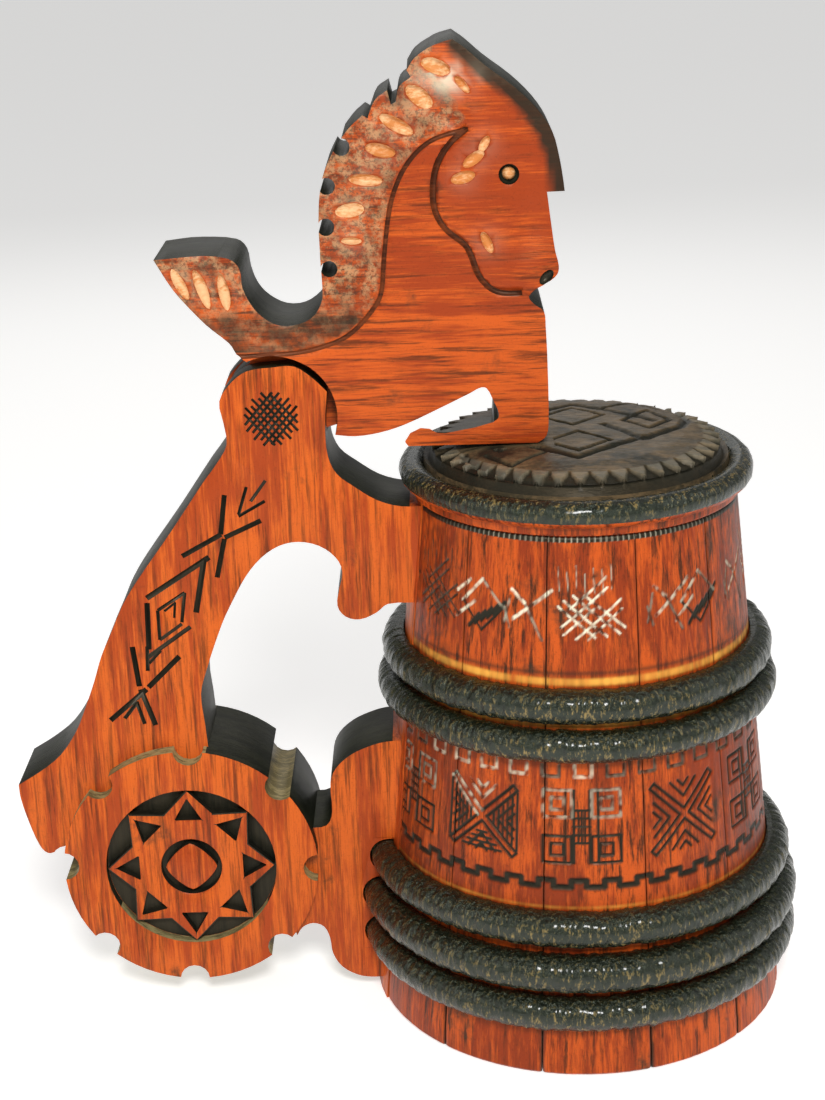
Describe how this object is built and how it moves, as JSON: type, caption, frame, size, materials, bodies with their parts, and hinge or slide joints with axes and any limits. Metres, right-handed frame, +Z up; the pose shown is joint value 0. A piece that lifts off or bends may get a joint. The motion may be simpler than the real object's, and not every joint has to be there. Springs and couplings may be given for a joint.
{
  "type": "lidded wooden tankard",
  "caption": "Coopered wooden tankard with split-withy hoops, a hinged lid, a carved horse as thumb lever and a plank handle whose foot is a carved wheel.",
  "frame": {"origin": "middle of the whole object's box, on the surface it stands on; the vessel's own axis is 51.9 mm towards +X", "axes": "+Z up, +X from the handle towards the vessel, Y across the planks of the handle and the horse, which lie in the XZ plane"},
  "size_m": [0.2426, 0.1388, 0.2956],
  "materials": {
    "stained_wood": "red-brown stain under a satin varnish",
    "handle_wood": "orange-red stain under a satin varnish, edges blackened",
    "dark_withy": "black-green glossy varnish over bark",
    "dark_lid_wood": "black-brown varnish, worn brown on the high places",
    "pale_wood": "unstained, worn smooth"
  },
  "bodies": {
    "vessel": {"stave_01": "stained_wood", "stave_02": "stained_wood", "stave_03": "stained_wood", "stave_04": "stained_wood", "stave_05": "stained_wood", "stave_06": "stained_wood", "stave_07": "stained_wood", "stave_08": "stained_wood", "stave_09": "stained_wood", "stave_10": "stained_wood", "stave_11": "stained_wood", "handle_stave": "handle_wood", "bottom_head": "pale_wood", "hinge_pin": "pale_wood", "hoop_foot": "dark_withy", "hoop_foot_middle": "dark_withy", "hoop_foot_upper": "dark_withy", "hoop_waist_lower": "dark_withy", "hoop_waist_upper": "dark_withy"},
    "lid_and_horse": {"lid": "dark_lid_wood", "horse_lever": "handle_wood", "lid_dowel_front": "pale_wood", "lid_dowel_back": "pale_wood"}
  },
  "joints": [
    {"name": "lid_hinge", "type": "hinge", "parent": "vessel", "child": "lid_and_horse", "pos_m": [-0.0357, 0, 0.191], "axis": [0, -1, 0], "range_deg": [0, 90]}
  ]
}
